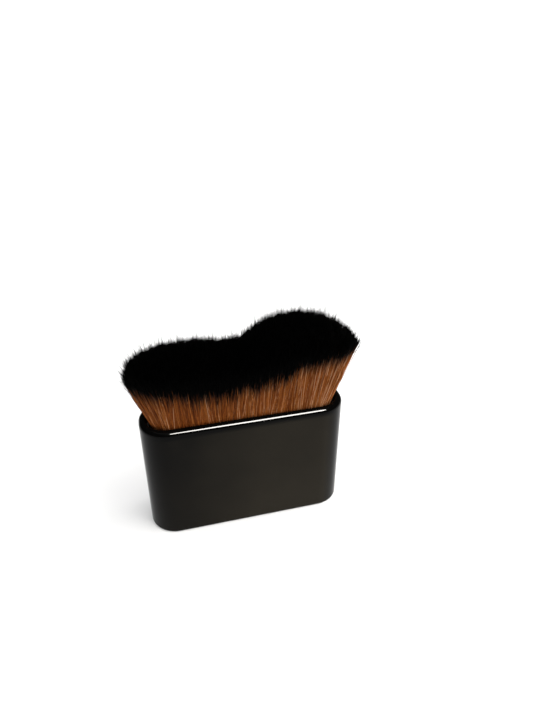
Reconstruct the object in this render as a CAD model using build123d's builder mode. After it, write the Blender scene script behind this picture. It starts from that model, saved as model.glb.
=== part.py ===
from build123d import *
import os

# Palm-held neck duster brush: an upright flat-oval plastic casing that stands on
# its base, with a dense fibre head glued into a cup inside the casing mouth.
# Millimetres. Origin at the centre of the flat base, +Z up, X along the width.

# Casing
CASING_WIDTH = 75.0
CASING_DEPTH = 22.0
CASING_HEIGHT = 46.0
CASING_CORNER = 10.2
CASING_WALL = 2.4
CASING_FLOOR = 2.0
RIM_OUTER_FILLET = 1.8
RIM_INNER_FILLET = 0.4
BASE_FILLET = 0.7
INSIDE_FILLET = 0.8

# Ribs moulded across the inside of the casing; the cup sits on their tops
RIB_TOP = 28.0
RIB_THICKNESS = 1.2
RIB_SPACING = 17.0
RIB_COUNT = 4
RIB_OVERLAP = 0.5  # how far each rib runs into the floor under it

# Cup that carries the fibre bundle, pushed into the casing mouth
CUP_CLEARANCE = 0.1
CUP_WALL = 0.8
CUP_FLOOR = 1.5
CUP_TOP = 42.0
CUP_LEAD_IN = 0.5  # chamfer around the bottom, so the cup starts easily into the mouth

# Glue bed in the cup; the roots are sunk into it
GLUE_UNDER_ROOTS = 1.0
GLUE_DEPTH = 5.0

# Fibre bundle: half length and half depth at the root and at the casing rim
ROOT_HALF_LENGTH = 33.0
ROOT_HALF_DEPTH = 7.0
RIM_HALF_LENGTH = 34.3
RIM_HALF_DEPTH = 8.45

# Outward lean of the outermost fibres, mm per mm of height above the rim
LEAN_LEFT = 0.31
LEAN_RIGHT = 0.3
LEAN_DEPTH = 0.22

# Trimmed top of the fibre head, as sections across the depth. Each row: X position,
# height on the centre line, height at the front and back, length of the black tips.
HEAD_HALF_DEPTH = 14.2
HEAD_SECTIONS = [
    (-46.0, 56.0, 52.0, 5.0),
    (-38.0, 66.9, 59.8, 5.0),
    (-30.0, 71.8, 65.0, 6.3),
    (-20.0, 73.4, 63.6, 9.2),
    (-10.0, 72.8, 62.2, 9.4),
    (-2.0, 72.2, 62.8, 8.2),
    (5.0, 75.0, 63.6, 8.8),
    (11.0, 78.7, 64.6, 10.0),
    (18.0, 80.0, 66.6, 7.0),
    (26.0, 79.3, 68.8, 4.3),
    (34.0, 75.9, 68.2, 3.0),
    (41.0, 67.6, 60.8, 2.2),
    (48.0, 55.0, 51.0, 2.0),
]

# The bundle runs past the trimmed top before it is cut; the cut starts below the roots
HEAD_LOFT_TOP = 84.0
ENVELOPE_BOTTOM = 25.0

os.makedirs("parts", exist_ok=True)


# ---------------------------------------------------------------- handle casing
mouth_width = CASING_WIDTH - 2 * CASING_WALL
mouth_depth = CASING_DEPTH - 2 * CASING_WALL
mouth_corner = CASING_CORNER - CASING_WALL

with BuildPart() as handle_casing:
    with BuildSketch(Plane.XY):
        RectangleRounded(CASING_WIDTH, CASING_DEPTH, CASING_CORNER)
    extrude(amount=CASING_HEIGHT)
    outer_rim = handle_casing.edges().group_by(Axis.Z)[-1]
    fillet(outer_rim, RIM_OUTER_FILLET)
    outer_base = handle_casing.edges().group_by(Axis.Z)[0]
    fillet(outer_base, BASE_FILLET)

    # Hollow, open at the top
    with BuildSketch(Plane.XY.offset(CASING_FLOOR)):
        RectangleRounded(mouth_width, mouth_depth, mouth_corner)
    extrude(amount=CASING_HEIGHT, mode=Mode.SUBTRACT)
    inner_rim = handle_casing.faces().sort_by(Axis.Z)[-1].inner_wires()[0].edges()
    fillet(inner_rim, RIM_INNER_FILLET)
    inner_floor = handle_casing.faces().filter_by(Axis.Z).sort_by(Axis.Z)[1]
    fillet(inner_floor.edges(), INSIDE_FILLET)

    # Cross ribs standing on the floor, merged into both long walls
    with BuildSketch(Plane.XY.offset(CASING_FLOOR - RIB_OVERLAP)):
        with GridLocations(RIB_SPACING, 0, RIB_COUNT, 1):
            Rectangle(RIB_THICKNESS, mouth_depth + CASING_WALL)
    extrude(amount=RIB_TOP - CASING_FLOOR + RIB_OVERLAP)

handle_casing.part.label = "handle_casing"
export_step(handle_casing.part, "parts/handle_casing.step")


# ------------------------------------------------------------------ bristle cup
cup_width = mouth_width - 2 * CUP_CLEARANCE
cup_depth = mouth_depth - 2 * CUP_CLEARANCE
cup_corner = mouth_corner - CUP_CLEARANCE
well_width = cup_width - 2 * CUP_WALL
well_depth = cup_depth - 2 * CUP_WALL
well_corner = cup_corner - CUP_WALL
well_bottom = RIB_TOP + CUP_FLOOR

with BuildPart() as bristle_cup:
    with BuildSketch(Plane.XY.offset(RIB_TOP)):
        RectangleRounded(cup_width, cup_depth, cup_corner)
    extrude(amount=CUP_TOP - RIB_TOP)
    chamfer(bristle_cup.edges().group_by(Axis.Z)[0], CUP_LEAD_IN)
    with BuildSketch(Plane.XY.offset(well_bottom)):
        RectangleRounded(well_width, well_depth, well_corner)
    extrude(amount=CUP_TOP, mode=Mode.SUBTRACT)

bristle_cup.part.label = "bristle_cup"
export_step(bristle_cup.part, "parts/bristle_cup.step")


# ----------------------------------------------------------------- fibre bundle
root_z = well_bottom + GLUE_UNDER_ROOTS


def bundle_outline(height, left, right, half_depth):
    """Flat-oval section of the bundle, from X = -left to X = +right."""
    with BuildSketch(Plane.XY.offset(height)) as outline:
        with Locations(((right - left) / 2, 0)):
            SlotOverall(left + right, 2 * half_depth)
    return outline.sketch


def head_envelope(drop_share):
    """Everything below the trimmed top, lowered by a share of the black tips' length."""
    with BuildPart() as envelope:
        for x, crest, side, black_length in HEAD_SECTIONS:
            drop = drop_share * black_length
            with BuildSketch(Plane.YZ.offset(x)):
                with BuildLine():
                    ThreePointArc(
                        (-HEAD_HALF_DEPTH, side - drop),
                        (0, crest - drop),
                        (HEAD_HALF_DEPTH, side - drop),
                    )
                    Polyline(
                        (HEAD_HALF_DEPTH, side - drop),
                        (HEAD_HALF_DEPTH, ENVELOPE_BOTTOM),
                        (-HEAD_HALF_DEPTH, ENVELOPE_BOTTOM),
                        (-HEAD_HALF_DEPTH, side - drop),
                    )
                make_face()
        loft()
    return envelope.part


top_rise = HEAD_LOFT_TOP - CASING_HEIGHT
cup_drop = CASING_HEIGHT - CUP_TOP
section_list = [
    bundle_outline(root_z, ROOT_HALF_LENGTH, ROOT_HALF_LENGTH, ROOT_HALF_DEPTH),
    bundle_outline(
        CUP_TOP,
        RIM_HALF_LENGTH - LEAN_LEFT * cup_drop,
        RIM_HALF_LENGTH - LEAN_RIGHT * cup_drop,
        RIM_HALF_DEPTH - LEAN_DEPTH * cup_drop,
    ),
    bundle_outline(
        HEAD_LOFT_TOP,
        RIM_HALF_LENGTH + LEAN_LEFT * top_rise,
        RIM_HALF_LENGTH + LEAN_RIGHT * top_rise,
        RIM_HALF_DEPTH + LEAN_DEPTH * top_rise,
    ),
]

trimmed_head = head_envelope(0)
brown_limit = head_envelope(1)

with BuildPart() as whole_bundle:
    loft(sections=section_list, ruled=True)
    add(trimmed_head, mode=Mode.INTERSECT)

# Lower, brown length of the fibres
with BuildPart() as bristle_body:
    add(whole_bundle.part)
    add(brown_limit, mode=Mode.INTERSECT)

bristle_body.part.label = "bristle_body"
export_step(bristle_body.part, "parts/bristle_body.step")

# Black dyed ends of the same fibres
with BuildPart() as bristle_tips:
    add(whole_bundle.part)
    add(brown_limit, mode=Mode.SUBTRACT)

bristle_tips.part.label = "bristle_tips"
export_step(bristle_tips.part, "parts/bristle_tips.step")


# -------------------------------------------------------------------- glue bed
with BuildPart() as potting_glue:
    with BuildSketch(Plane.XY.offset(well_bottom)):
        RectangleRounded(well_width, well_depth, well_corner)
    extrude(amount=GLUE_DEPTH)
    add(whole_bundle.part, mode=Mode.SUBTRACT)

potting_glue.part.label = "potting_glue"
export_step(potting_glue.part, "parts/potting_glue.step")
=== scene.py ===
"""Looks of the neck duster brush: fibres, casing finish, studio and camera.

Lengths are in metres.
"""

import math

import bpy
import numpy as np
from mathutils import Matrix, Vector
from mathutils.bvhtree import BVHTree


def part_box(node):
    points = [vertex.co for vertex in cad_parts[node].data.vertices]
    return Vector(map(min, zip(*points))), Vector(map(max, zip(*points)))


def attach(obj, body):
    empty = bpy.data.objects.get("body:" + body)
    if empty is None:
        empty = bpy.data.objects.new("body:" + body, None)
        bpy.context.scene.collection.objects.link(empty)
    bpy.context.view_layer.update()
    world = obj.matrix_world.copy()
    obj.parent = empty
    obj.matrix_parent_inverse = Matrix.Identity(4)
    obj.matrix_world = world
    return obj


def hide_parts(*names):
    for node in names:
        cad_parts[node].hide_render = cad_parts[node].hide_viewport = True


MM = 0.001
BODY = "brush"
SEED = 7

# Rays cast at the CAD bundle. Those cast down start at least SAFE_INSET inside its outline,
# and one that misses is cast again a little nearer the Z axis.
PROBE_RISE = 8 * MM
RAY_START = 100 * MM
MISS_STEP = 0.985
SAFE_INSET = 0.4 * MM

# Fibre bundle. The side layer's fibres run up from below the rim; those inside it are only
# their last stretch.
SIDE_FIBRES = 19000
TOP_FIBRES = 42000
SIDE_LAYER = 1.3 * MM
ROOT_BELOW_RIM = 3.0 * MM
TOP_FIBRE_LENGTH = 7.0 * MM
TIP_OVERLAP = 0.3 * MM
LEAST_BLACK = 1.5 * MM
MAX_PIECE_TRIANGLES = 180_000

# One fibre: its thickness, its sides, and the rings of points along it
FIBRE_RADIUS = 0.078 * MM
THINNEST, THICKEST = 0.75, 1.25
TIP_TAPER = 0.93
TAPER_POWER = 2.2
FIBRE_SIDES = 3
BROWN_STEPS = 8
SIDE_TIP_STEPS = 4
TOP_TIP_STEPS = 3

# Clumps of fibres: spread of their lean, dye line and length, and their pull at the tips
CLUMP_SIZE = 1.3 * MM
CLUMP_JITTER = 0.18
CLUMP_LEAN = 0.035
CLUMP_DYE = 0.3
CLUMP_TIP = 0.1 * MM
CLUMP_PULL = 0.3

# Chance in single fibres. SIDEWAYS gives lean and curl half as much along Y as along X.
SIDEWAYS = np.array((1.0, 0.5))
FIBRE_LEAN = 0.04
DYE_SPREAD = 1.7 * MM
DYE_SPREAD_SHARE = 0.3
DYE_LOWEST, DYE_HIGHEST = -2.2, 1.6
TIP_SPREAD = 0.65 * MM
TIP_DROP = 1.1 * MM
WANDER = 0.16 * MM
WAVE_SHORTEST, WAVE_LONGEST = 9 * MM, 22 * MM
CURL = 0.5 * MM
CURL_POWER = 4
STRAY_SHARE = 0.015
STRAY_CURL = 2.5
STRAY_LEAN = 3 * MM

# Texture of a fibre: its tone column, and the real lengths and texture shares of its ends
UV_LAYER = "OFBake"
TONES = 64
TONE_MIDDLE = 0.49
# Painted light: how much lighter the fibre tones get towards the right
PAINTED_LIGHT_TO_RIGHT = 0.12
TONE_OF_CLUMP = 0.06
TONE_SPREAD = 0.2
ROOT_STRETCH = 4.0 * MM
DYE_STRETCH = 6.0 * MM
ROOT_SHARE = 0.2
DYE_SHARE = 0.6

# Dark core under the fibres: a sheet of painted shade for the shaded inside of the bundle
CORE_AROUND = 240
CORE_INSET = 1.0 * MM
CORE_DEPTH = 2.6 * MM
CORE_SIDE_RINGS = 5
CORE_TOP_RINGS = 9
CORE_REACH = 0.98

# Studio
LIGHT_AIM = (0, 0, 0.04)
OVERHEAD_PLACE = (0.44, -0.16, 0.58)
OVERHEAD_SIZE = (0.69, 0.69)
OVERHEAD_RADIANCE = 3.1
OVERHEAD_COLOUR = (1, 0.985, 0.96)
STRIP_PLACE = (0.16, -0.44, 0.6)
STRIP_SIZE = (0.44, 0.32)
STRIP_RADIANCE = 230.0
STRIP_COLOUR = (1, 0.97, 0.92)
WORLD_STRENGTH = 0.8
FLOOR_HALF = 1.0
FLOOR_VALUE = 0.93
BACKDROP_START = 0.5
BACKDROP_CURVE = 0.25
BACKDROP_HEIGHT = 1.2
BACKDROP_LIFT = 0.5 * MM
BACKDROP_STEPS = 16
BACKDROP_AROUND = 96

# Camera, as its aim point, distance and angles
CAMERA_AIM = Vector((15.4, 24.9, 50.9)) * MM
CAMERA_DISTANCE = 207.5 * MM
CAMERA_AZIMUTH = math.radians(-14.48)
CAMERA_ELEVATION = math.radians(28.74)
CAMERA_ROLL = math.radians(-0.19)
CAMERA_LENS_MM = 25.69
CAMERA_SENSOR_MM = 36.0
CAMERA_CLIP = 10 * MM

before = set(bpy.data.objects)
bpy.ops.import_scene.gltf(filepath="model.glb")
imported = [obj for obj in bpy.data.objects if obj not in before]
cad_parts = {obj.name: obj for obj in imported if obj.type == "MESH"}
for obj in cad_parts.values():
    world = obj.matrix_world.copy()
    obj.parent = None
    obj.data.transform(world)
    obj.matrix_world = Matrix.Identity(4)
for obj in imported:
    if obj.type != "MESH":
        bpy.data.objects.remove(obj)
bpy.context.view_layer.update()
rng = np.random.default_rng(SEED)


# ------------------------------------------------------------ measures of the CAD frame
def tree_of(*names):
    """One ray-casting tree over the named CAD nodes."""
    points, faces = [], []
    for name in names:
        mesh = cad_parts[name].data
        first = len(points)
        points += [vertex.co.copy() for vertex in mesh.vertices]
        faces += [[first + index for index in polygon.vertices] for polygon in mesh.polygons]
    return BVHTree.FromPolygons(points, faces)


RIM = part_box("handle_casing")[1].z
DYE_TREE = tree_of("bristle_body")
TIP_TREE = tree_of("bristle_tips")


def reach(height, towards):
    """How far the CAD bundle reaches from the Z axis one way, at one height."""
    start = Vector((0, 0, height)) + Vector(towards)
    hit = DYE_TREE.ray_cast(start, -Vector(towards))[0]
    return Vector((hit.x, hit.y)).length


LEFT, RIGHT, DEPTH = (reach(RIM, way) for way in ((-1, 0, 0), (1, 0, 0), (0, -1, 0)))
LEAN_LEFT, LEAN_RIGHT, LEAN_DEPTH = (
    (reach(RIM + PROBE_RISE, way) - at_rim) / PROBE_RISE
    for way, at_rim in (((-1, 0, 0), LEFT), ((1, 0, 0), RIGHT), ((0, -1, 0), DEPTH))
)
HALF_LENGTH = (LEFT + RIGHT) / 2


def outline_point(share, inset):
    """Points at rim height on the bundle's flat-oval outline, moved in by inset."""
    radius = DEPTH - inset
    straight = 2 * (HALF_LENGTH - DEPTH)
    arc = math.pi * radius
    along = share * (2 * straight + 2 * arc)
    on_right = (along - straight) / radius - math.pi / 2
    on_left = (along - 2 * straight - arc) / radius + math.pi / 2
    half = straight / 2
    stretches = [along < straight, along < straight + arc, along < 2 * straight + arc]
    x = np.select(
        stretches,
        [along - half, half + radius * np.cos(on_right), half - (along - straight - arc)],
        -half + radius * np.cos(on_left),
    )
    y = np.select(
        stretches,
        [-radius, radius * np.sin(on_right), radius],
        radius * np.sin(on_left),
    )
    return np.stack([x, y], 1)


def lean_at(places):
    """Sideways travel per metre of rise, for fibres through these places at rim height."""
    half = HALF_LENGTH - DEPTH
    x, y = places[:, 0], places[:, 1]
    spine = np.clip(x, -half, half)
    spine_lean = np.where(x < 0, LEAN_LEFT, LEAN_RIGHT) - LEAN_DEPTH
    lean_x = spine_lean * spine / half + LEAN_DEPTH * (x - spine) / DEPTH
    return np.stack([lean_x, LEAN_DEPTH * y / DEPTH], 1)


def rise_to(tree, places, lean):
    """Height above the rim at which each fibre leaves the CAD solid."""
    rises = np.zeros(len(places))
    for index, (place, slope) in enumerate(zip(places, lean)):
        hit = None
        while not hit:
            down = Vector((-slope[0], -slope[1], -1)).normalized()
            above = place + slope * RAY_START
            hit = tree.ray_cast(Vector((*above, RIM + RAY_START)), down)[0]
            place, slope = place * MISS_STEP, slope * MISS_STEP
        rises[index] = hit.z - RIM
    return rises


# ------------------------------------------------------------ fibres
def clumps_of(places):
    """Each fibre's clump centre and clump number, and how many clumps there are.

    A clump is the fibres in one cell of a grid, with edges blurred by a little chance.
    """
    jitter = rng.normal(0, CLUMP_SIZE * CLUMP_JITTER, places.shape)
    cells = np.floor((places + jitter) / CLUMP_SIZE).astype(int)
    keys, number = np.unique(cells, axis=0, return_inverse=True)
    number = number.ravel()
    count = np.bincount(number)
    centre = np.stack([np.bincount(number, places[:, axis]) / count for axis in range(2)], 1)
    return centre[number], number, len(keys)


def fibre_tones(places, clump_part):
    """Tone column of each fibre: mostly chance, and a little lighter towards the right as
    painted light.
    """
    # Painted light: fibres further right take lighter tone columns
    painted_light_to_right = PAINTED_LIGHT_TO_RIGHT * places[:, 0] / HALF_LENGTH
    shade = TONE_MIDDLE + painted_light_to_right + TONE_OF_CLUMP * clump_part
    shade = shade + rng.normal(0, TONE_SPREAD, len(places))
    return np.floor(np.clip(shade, 0, 0.999) * TONES)


def fibre_field(count, inset_low, inset_high):
    """A layer of fibres between two insets, as named arrays with one entry per fibre.

    Fewer than count remain, because the outline gets shorter further in.
    """
    inset = rng.uniform(0, 1, count)
    inset = inset_low + (inset_high - inset_low) * inset
    length_there = 4 * (HALF_LENGTH - DEPTH) + 2 * math.pi * (DEPTH - inset)
    keep = rng.uniform(0, 1, count) < length_there / length_there.max()
    inset = inset[keep]
    share = rng.uniform(0, 1, len(inset))
    places = outline_point(share, inset)
    safe = outline_point(share, np.maximum(inset, SAFE_INSET))
    lean = lean_at(places)
    dye = rise_to(DYE_TREE, safe, lean_at(safe))
    tip = rise_to(TIP_TREE, safe, lean_at(safe))
    centre, clump, clumps = clumps_of(places)
    number = len(places)
    clump_lean = rng.normal(0, CLUMP_LEAN, (clumps, 2)) * SIDEWAYS
    lean = lean + clump_lean[clump] + rng.normal(0, FIBRE_LEAN, (number, 2)) * SIDEWAYS
    dye_spread = np.minimum(DYE_SPREAD, DYE_SPREAD_SHARE * (tip - dye))
    dye_chance = rng.normal(0, CLUMP_DYE, clumps)[clump]
    dye_chance = dye_chance + np.clip(rng.normal(0, 1, number), DYE_LOWEST, DYE_HIGHEST)
    dye = dye + dye_chance * dye_spread
    tip = tip + rng.exponential(TIP_SPREAD, number) - TIP_DROP
    tip = tip + rng.normal(0, CLUMP_TIP, clumps)[clump]
    stray = rng.uniform(0, 1, (number, 1)) < STRAY_SHARE
    return {
        "places": places,
        "lean": lean,
        "dye": dye,
        "tip": np.maximum(tip, dye + LEAST_BLACK),
        "centre": centre,
        "phase": rng.uniform(0, 2 * math.pi, (number, 2)),
        "wave": rng.uniform(WAVE_SHORTEST, WAVE_LONGEST, number),
        "tone": fibre_tones(places, rng.normal(0, 1, clumps)[clump]),
        "spin": rng.uniform(0, 2 * math.pi, number),
        "curl": rng.normal(0, CURL, (number, 2)) * np.where(stray, STRAY_CURL, SIDEWAYS)
        + np.where(stray, lean * STRAY_LEAN, 0),
        "radius": FIBRE_RADIUS * rng.uniform(THINNEST, THICKEST, number),
    }


def fibre_points(field, rise):
    """Centre-line points of every fibre at its own rises, an array of fibres by points."""
    places, lean = field["places"][:, None], field["lean"][:, None]
    share = np.clip(rise / field["tip"][:, None], 0, 1)
    flat = places + lean * rise[..., None]
    pull = CLUMP_PULL * share**2
    centre_lean = lean_at(field["centre"])[:, None]
    centre = field["centre"][:, None] + centre_lean * rise[..., None]
    flat = flat + (centre - flat) * pull[..., None]
    turns = rise[..., None] / field["wave"][:, None, None]
    angle = 2 * math.pi * turns + field["phase"][:, None]
    flat = flat + WANDER * share[..., None] * np.sin(angle)
    flat = flat + field["curl"][:, None] * share[..., None] ** CURL_POWER
    return np.concatenate([flat, RIM + rise[..., None]], 2)


def along_fibre(share, length):
    """Texture height along each fibre; root and dye stretches keep their real lengths."""
    from_root = share * length[:, None]
    middle = np.maximum(length - ROOT_STRETCH - DYE_STRETCH, MM)[:, None]
    root = np.clip(from_root / ROOT_STRETCH, 0, 1)
    plain = np.clip((from_root - ROOT_STRETCH) / middle, 0, 1)
    dyed = np.clip(1 - (length[:, None] - from_root) / DYE_STRETCH, 0, 1)
    return ROOT_SHARE * root + (DYE_SHARE - ROOT_SHARE) * plain + (1 - DYE_SHARE) * dyed


def ring_quads(count, steps, sides):
    """Quads that join each ring of points to the next, for a number of equal tubes."""
    base = np.arange(count)[:, None, None] * (steps + 1) * sides
    low = base + np.arange(steps)[None, :, None] * sides
    side = np.arange(sides)[None, None]
    beside = (side + 1) % sides
    corners = [low + side, low + beside, low + sides + beside, low + sides + side]
    return np.stack(corners, 3).reshape(-1, 4)


def ring_uv(across, along):
    """UV corners of those quads, from the columns around each tube and heights along it."""
    shape = (len(across), along.shape[1] - 1, across.shape[1] - 1)
    left = np.broadcast_to(across[:, None, :-1], shape)
    right = np.broadcast_to(across[:, None, 1:], shape)
    low = np.broadcast_to(along[:, :-1, None], shape)
    high = np.broadcast_to(along[:, 1:, None], shape)
    return np.stack([left, low, right, low, right, high, left, high], 3).reshape(-1, 2)


def tubes(field, start, end, steps, taper):
    """Vertices, quads and UVs of one thin tube per fibre, from rise start to rise end."""
    share = np.linspace(0, 1, steps + 1)
    rise = start[:, None] + (end - start)[:, None] * share
    line = fibre_points(field, rise)
    width = field["radius"][:, None] * taper(share)[None]
    turn = field["spin"][:, None] + 2 * math.pi * np.arange(FIBRE_SIDES) / FIBRE_SIDES
    ring = np.stack([np.cos(turn), np.sin(turn), np.zeros_like(turn)], 2)
    points = line[:, :, None] + width[:, :, None, None] * ring[:, None]
    column = (np.arange(FIBRE_SIDES + 1) / FIBRE_SIDES)[None]
    across = (field["tone"][:, None] + column) / TONES
    uv = ring_uv(across, along_fibre(share, end - start))
    return points.reshape(-1, 3), ring_quads(len(points), steps, FIBRE_SIDES), uv


def mesh_object(name, points, quads, uv, material):
    """A smooth-shaded quad mesh with its UVs, made straight from arrays."""
    mesh = bpy.data.meshes.new(name)
    mesh.vertices.add(len(points))
    mesh.vertices.foreach_set("co", points.astype(np.float32).ravel())
    mesh.loops.add(quads.size)
    mesh.loops.foreach_set("vertex_index", quads.astype(np.int32).ravel())
    mesh.polygons.add(len(quads))
    mesh.polygons.foreach_set("loop_start", np.arange(0, quads.size, 4, dtype=np.int32))
    mesh.update(calc_edges=True)
    mesh.shade_smooth()
    layer = mesh.uv_layers.new(name=UV_LAYER)
    layer.data.foreach_set("uv", uv.astype(np.float32).ravel())
    mesh.materials.append(material)
    obj = bpy.data.objects.new(name, mesh)
    bpy.context.scene.collection.objects.link(obj)
    return obj


def part_of(field, chosen):
    """The chosen fibres of a field."""
    return {key: values[chosen] for key, values in field.items()}


def add_fibres(name, field, start, end, steps, taper, material, node):
    """Fibre pieces that stand for a CAD node, cut into bands along X to keep each small."""
    triangles = len(start) * steps * FIBRE_SIDES * 2
    bands = math.ceil(triangles / MAX_PIECE_TRIANGLES)
    order = np.argsort(field["places"][:, 0])
    for band, chosen in enumerate(np.array_split(order, bands), 1):
        some = part_of(field, chosen)
        points, quads, uv = tubes(some, start[chosen], end[chosen], steps, taper)
        piece = mesh_object(f"{name}_{band}", points, quads, uv, material)
        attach(piece, BODY)
        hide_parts(node)


def add_core(material):
    """A dark shell just under the fibres, painted shade for the shaded inside of the bundle, so
    that no light shows through it.

    Its side rings climb from below the rim; its top rings close in over the spine.
    """
    share = np.arange(CORE_AROUND) / CORE_AROUND
    top_insets = np.linspace(CORE_INSET, DEPTH * CORE_REACH, CORE_TOP_RINGS)[1:]
    insets = np.concatenate([np.full(CORE_SIDE_RINGS, CORE_INSET), top_insets])
    rings = []
    for number, inset in enumerate(insets):
        places = outline_point(share, np.full(CORE_AROUND, inset))
        lean = lean_at(places)
        top = rise_to(TIP_TREE, places, lean) - CORE_DEPTH
        climb = min(number / (CORE_SIDE_RINGS - 1), 1)
        rise = -ROOT_BELOW_RIM + (top + ROOT_BELOW_RIM) * climb
        flat = places + lean * rise[:, None]
        rings.append(np.concatenate([flat, (RIM + rise)[:, None]], 1))
    steps = len(rings) - 1
    across = np.arange(CORE_AROUND + 1)[None] / CORE_AROUND
    along = np.arange(steps + 1)[None] / steps
    quads, uv = ring_quads(1, steps, CORE_AROUND), ring_uv(across, along)
    piece = mesh_object("shade_core", np.concatenate(rings), quads, uv, material)
    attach(piece, BODY)
    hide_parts("bristle_body")


def even(share):
    """A tube of one width all along."""
    return np.ones_like(share)


def to_a_point(share):
    """A tube that narrows towards its end."""
    return 1 - TIP_TAPER * share**TAPER_POWER


# ------------------------------------------------------------ materials
class Shader:
    """A material's node tree with short calls to add and join nodes."""

    def __init__(self, name):
        self.material = bpy.data.materials.new(name)
        self.material.use_nodes = True
        self.tree = self.material.node_tree
        self.surface = self.tree.nodes["Principled BSDF"]

    def feed(self, socket, value):
        """Joins the socket to another node's output, or sets it to a constant."""
        if isinstance(value, bpy.types.NodeSocket):
            self.tree.links.new(value, socket)
        else:
            socket.default_value = value

    def node(self, kind, inputs=None, **settings):
        made = self.tree.nodes.new(kind)
        for key, value in settings.items():
            setattr(made, key, value)
        for key, value in (inputs or {}).items():
            self.feed(made.inputs[key], value)
        return made

    def set(self, **values):
        for key, value in values.items():
            self.feed(self.surface.inputs[key.replace("_", " ")], value)

    def place(self):
        """Where the point is, in its object's own coordinates."""
        return self.node("ShaderNodeTexCoord").outputs["Object"]

    def uv(self):
        return self.node("ShaderNodeUVMap", uv_map=UV_LAYER).outputs["UV"]

    def noise(self, vector, scale, detail=2.0):
        inputs = {"Vector": vector, "Scale": scale, "Detail": detail}
        return self.node("ShaderNodeTexNoise", inputs).outputs["Fac"]

    def bump(self, height, strength):
        inputs = {"Height": height, "Strength": strength, "Distance": 0.05 * MM}
        return self.node("ShaderNodeBump", inputs).outputs["Normal"]

    def math(self, operation, first, second=0.0):
        inputs = {0: first, 1: second}
        return self.node("ShaderNodeMath", inputs, operation=operation).outputs[0]

    def fade(self, value, start, end, height=1.0):
        """Rises from 0 to height as the value goes from start to end."""
        inputs = {"Value": value, "From Min": start, "From Max": end, "To Max": height}
        return self.node("ShaderNodeMapRange", inputs).outputs["Result"]

    def ramp(self, factor, stops):
        made = self.node("ShaderNodeValToRGB", {"Fac": factor})
        elements = made.color_ramp.elements
        while len(elements) < len(stops):
            elements.new(0.5)
        for element, (position, colour) in zip(elements, stops):
            element.position = position
            element.color = (*colour, 1)
        return made.outputs["Color"]

    def mix(self, factor, first, second, blend="MIX"):
        made = self.node("ShaderNodeMix", data_type="RGBA", blend_type=blend)
        for index, value in ((0, factor), (6, first), (7, second)):
            self.feed(made.inputs[index], value)
        return made.outputs[2]


def grey(value):
    return (value, value, value)


def fibre_place(shader):
    """Tone of a fibre from its tone column, the height along it, and its whole UV."""
    uv = shader.uv()
    split = shader.node("ShaderNodeSeparateXYZ", {0: uv})
    column = shader.math("FLOOR", shader.math("MULTIPLY", split.outputs["X"], TONES))
    return shader.math("DIVIDE", column, TONES), split.outputs["Y"], uv


def brown_fibre():
    """Brown in many tones, with painted shade at the root, and dyed black at the end."""
    shader = Shader("brown_fibre")
    tone, along, uv = fibre_place(shader)
    streak = shader.math("SUBTRACT", shader.noise(uv, 9.0, 3.0), 0.5)
    uneven_tone = shader.math("ADD", tone, shader.math("MULTIPLY", streak, 0.3))
    colour = shader.ramp(
        uneven_tone,
        [
            (0.05, (0.07, 0.0155, 0.003)),
            (0.4, (0.2, 0.051, 0.009)),
            (0.7, (0.35, 0.115, 0.024)),
            (0.95, (0.58, 0.33, 0.19)),
        ],
    )
    # Painted shade: darker towards the root, where the fibres crowd in by the rim
    painted_root_shade = shader.ramp(along, [(0.0, grey(0.3)), (ROOT_SHARE, grey(1))])
    shaded = shader.mix(1.0, colour, painted_root_shade, "MULTIPLY")
    dyed = shader.ramp(along, [(0.64, grey(0)), (0.97, grey(1))])
    shader.set(
        Base_Color=shader.mix(dyed, shaded, (0.003, 0.002, 0.002, 1)),
        Roughness=0.5,
        Specular_IOR_Level=0.05,
    )
    return shader.material


def black_fibre():
    shader = Shader("black_fibre")
    tone = fibre_place(shader)[0]
    colour = shader.ramp(tone, [(0.0, grey(0.0001)), (1.0, (0.0006, 0.0005, 0.0004))])
    shader.set(Base_Color=colour, Roughness=0.6, Specular_IOR_Level=0.02)
    return shader.material


def shade_core_material():
    """Painted shade: dark brown below and black above, changing over at the lowest of the black
    tips.
    """
    shader = Shader("shade_core")
    position = shader.node("ShaderNodeNewGeometry").outputs["Position"]
    height = shader.node("ShaderNodeSeparateXYZ", {0: position}).outputs["Z"]
    grain = shader.noise(shader.uv(), 160.0)
    # Painted shade: far darker than the fibres' own brown
    brown = shader.ramp(grain, [(0.35, (0.012, 0.004, 0.0015)), (0.65, (0.05, 0.016, 0.006))])
    dark_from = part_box("bristle_tips")[0].z - 2 * MM
    black = shader.fade(height, dark_from, dark_from + 4 * MM)
    shader.set(
        Base_Color=shader.mix(black, brown, (*grey(0.0003), 1)),
        Roughness=0.9,
        Specular_IOR_Level=0.02,
    )
    return shader.material


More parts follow.
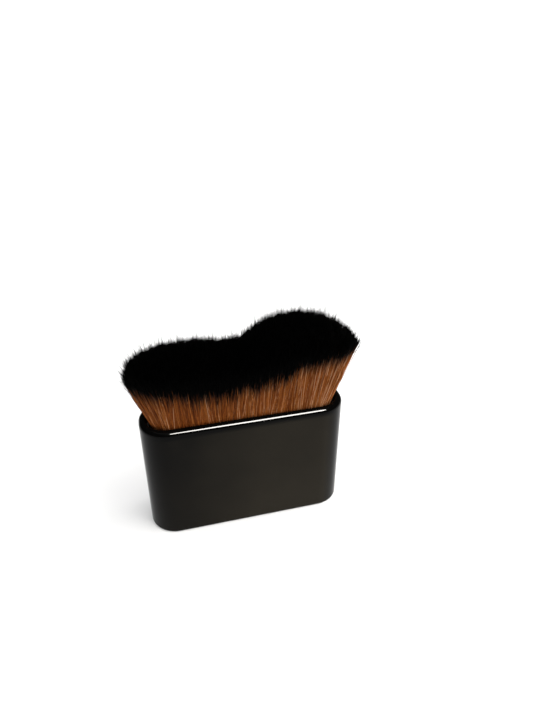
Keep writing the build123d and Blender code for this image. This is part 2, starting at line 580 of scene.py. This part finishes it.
def casing_plastic():
    """Near-black gloss, with a faint warm painted reflection, mixed with smudges, that grows to
    the right and downwards.

    The painted reflection stops below the rim and short of the right end, so those bands stay
    dark.
    """
    shader = Shader("casing_plastic")
    place = shader.place()
    smudge = shader.noise(place, 55.0, 4.0)
    split = shader.node("ShaderNodeSeparateXYZ", {0: place})
    x, z = split.outputs["X"], split.outputs["Z"]
    # Painted reflection: lighter towards the right and towards the bottom
    from_left = shader.fade(x, -30 * MM, 4 * MM, 0.55)
    from_top = shader.fade(z, RIM, 0.0, 0.25)
    # The painted reflection fades out under the rim and at the right end, leaving those bands
    # dark
    below_rim = shader.fade(z, RIM - 1.2 * MM, RIM - 3.5 * MM)
    off_right_end = shader.fade(x, 35 * MM, 29 * MM)
    painted_reflection_and_smudge = shader.math("ADD", from_left, from_top)
    painted_reflection_and_smudge = shader.math("ADD", painted_reflection_and_smudge, shader.math("MULTIPLY", smudge, 0.4))
    painted_reflection_and_smudge = shader.math("MULTIPLY", painted_reflection_and_smudge, below_rim)
    painted_reflection_and_smudge = shader.math("MULTIPLY", painted_reflection_and_smudge, off_right_end)
    colour = shader.ramp(painted_reflection_and_smudge, [(0.2, grey(0.0001)), (1.0, (0.0021, 0.0018, 0.0013))])
    roughness = shader.node(
        "ShaderNodeMapRange", {"Value": smudge, "To Min": 0.06, "To Max": 0.1}
    ).outputs["Result"]
    skin = shader.noise(place, 900.0)
    shader.set(
        Base_Color=colour,
        Roughness=roughness,
        Normal=shader.bump(skin, 0.03),
        Specular_IOR_Level=0.055,
    )
    return shader.material


def cup_plastic():
    shader = Shader("cup_plastic")
    grain = shader.noise(shader.place(), 1400.0)
    colour = shader.ramp(grain, [(0.3, grey(0.012)), (0.7, (0.022, 0.021, 0.02))])
    shader.set(Base_Color=colour, Roughness=0.55, Normal=shader.bump(grain, 0.1))
    return shader.material


def glue():
    shader = Shader("glue")
    cloud = shader.noise(shader.place(), 300.0)
    colour = shader.ramp(cloud, [(0.3, (0.32, 0.22, 0.1)), (0.7, (0.5, 0.4, 0.22))])
    shader.set(Base_Color=colour, Roughness=0.25)
    return shader.material


def dress(node, material):
    """Gives a CAD node a new material in place of its plain one."""
    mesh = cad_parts[node].data
    mesh.materials.clear()
    mesh.materials.append(material)


# ------------------------------------------------------------ studio
def pale_material(name, value):
    shader = Shader(name)
    grain = shader.noise(shader.place(), 40.0)
    colour = shader.ramp(grain, [(0.3, grey(value * 0.99)), (0.7, grey(value))])
    shader.set(Base_Color=colour, Roughness=0.9)
    return shader.material


def add_floor():
    half = FLOOR_HALF
    mesh = bpy.data.meshes.new("floor")
    corners = [(-half, -half, 0), (half, -half, 0), (half, half, 0), (-half, half, 0)]
    mesh.from_pydata(corners, [], [(0, 1, 2, 3)])
    mesh.materials.append(pale_material("floor", FLOOR_VALUE))
    floor = bpy.data.objects.new("floor", mesh)
    bpy.context.scene.collection.objects.link(floor)


def backdrop_profile():
    """Radius and height up the backdrop: a quarter circle off the floor, then a wall."""
    profile = [(BACKDROP_START, BACKDROP_LIFT)]
    for step in range(1, BACKDROP_STEPS + 1):
        angle = math.pi / 2 * step / BACKDROP_STEPS
        radius = BACKDROP_START + BACKDROP_CURVE * math.sin(angle)
        profile.append((radius, BACKDROP_CURVE * (1 - math.cos(angle))))
    profile.append((BACKDROP_START + BACKDROP_CURVE, BACKDROP_HEIGHT))
    return profile


def add_backdrop():
    """A glowing round wall, so that no side view shows a horizon."""
    profile = backdrop_profile()
    around = BACKDROP_AROUND
    turns = [2 * math.pi * number / around for number in range(around)]
    points = [(r * math.cos(turn), r * math.sin(turn), z) for r, z in profile for turn in turns]
    faces = []
    for level in range(len(profile) - 1):
        low, high = level * around, (level + 1) * around
        for number in range(around):
            beside = (number + 1) % around
            faces.append((low + number, low + beside, high + beside, high + number))
    mesh = bpy.data.meshes.new("backdrop")
    mesh.from_pydata(points, [], faces)
    mesh.shade_smooth()
    shader = Shader("backdrop")
    shader.set(
        Base_Color=(*grey(0.05), 1),
        Roughness=0.9,
        Emission_Color=(*grey(1), 1),
        Emission_Strength=1.0,
    )
    mesh.materials.append(shader.material)
    backdrop = bpy.data.objects.new("backdrop", mesh)
    bpy.context.scene.collection.objects.link(backdrop)
    return backdrop


def add_light(name, shape, place, size, radiance, colour):
    """A softbox of a given shape and brightness, turned towards the brush."""
    light = bpy.data.lights.new(name, "AREA")
    light.shape = shape
    light.size, light.size_y = size
    light.energy = radiance * math.pi * size[0] * size[1]
    light.color = colour
    obj = bpy.data.objects.new(name, light)
    obj.location = place
    towards = Vector(LIGHT_AIM) - Vector(place)
    obj.rotation_euler = towards.to_track_quat("-Z", "Y").to_euler()
    bpy.context.scene.collection.objects.link(obj)
    return obj


def light_casing(name, state):
    """A receiver collection that ties a light to the casing, or keeps the light off it."""
    receivers = bpy.data.collections.new(name)
    receivers.objects.link(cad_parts["handle_casing"])
    receivers.collection_objects[0].light_linking.link_state = state
    return receivers


def add_world():
    world = bpy.data.worlds.new("studio")
    world.use_nodes = True
    background = world.node_tree.nodes["Background"]
    background.inputs["Color"].default_value = (1, 1, 1, 1)
    background.inputs["Strength"].default_value = WORLD_STRENGTH
    bpy.context.scene.world = world


def add_studio():
    """World, lights and backdrop. Light links keep all but the strip off the casing."""
    add_world()
    overhead = add_light(
        "overhead", "RECTANGLE",
        OVERHEAD_PLACE, OVERHEAD_SIZE, OVERHEAD_RADIANCE, OVERHEAD_COLOUR,
    )
    strip = add_light(
        "rim_strip", "ELLIPSE",
        STRIP_PLACE, STRIP_SIZE, STRIP_RADIANCE, STRIP_COLOUR,
    )
    strip.light_linking.receiver_collection = light_casing("casing_only", "INCLUDE")
    all_but_casing = light_casing("all_but_casing", "EXCLUDE")
    overhead.light_linking.receiver_collection = all_but_casing
    add_backdrop().light_linking.receiver_collection = all_but_casing
    bpy.context.scene.view_settings.view_transform = "Standard"


def add_camera():
    across = math.cos(CAMERA_ELEVATION)
    back = Vector(
        (
            math.sin(CAMERA_AZIMUTH) * across,
            -math.cos(CAMERA_AZIMUTH) * across,
            math.sin(CAMERA_ELEVATION),
        )
    )
    data = bpy.data.cameras.new("camera")
    data.lens = CAMERA_LENS_MM
    data.sensor_width = CAMERA_SENSOR_MM
    data.clip_start = CAMERA_CLIP
    camera = bpy.data.objects.new("camera", data)
    turn = back.to_track_quat("Z", "Y").to_matrix().to_4x4()
    camera.matrix_world = (
        Matrix.Translation(CAMERA_AIM + back * CAMERA_DISTANCE)
        @ turn
        @ Matrix.Rotation(CAMERA_ROLL, 4, "Z")
    )
    bpy.context.scene.collection.objects.link(camera)
    bpy.context.scene.camera = camera


# ------------------------------------------------------------ the brush
def add_head():
    """The whole fibres of the side layer, the ends of those inside it, and the core."""
    brown, black = brown_fibre(), black_fibre()
    side = fibre_field(SIDE_FIBRES, 0.0, SIDE_LAYER)
    top = fibre_field(TOP_FIBRES, SIDE_LAYER, DEPTH)
    root = np.full(len(side["dye"]), -ROOT_BELOW_RIM)
    add_fibres(
        "brown_fibres", side, root, side["dye"],
        BROWN_STEPS, even, brown, "bristle_body",
    )
    add_fibres(
        "black_side_tips", side, side["dye"] - TIP_OVERLAP, side["tip"],
        SIDE_TIP_STEPS, to_a_point, black, "bristle_tips",
    )
    add_fibres(
        "black_top_tips", top, top["tip"] - TOP_FIBRE_LENGTH, top["tip"],
        TOP_TIP_STEPS, to_a_point, black, "bristle_tips",
    )
    add_core(shade_core_material())


add_head()
dress("handle_casing", casing_plastic())
dress("bristle_cup", cup_plastic())
dress("potting_glue", glue())
add_floor()
add_studio()
add_camera()
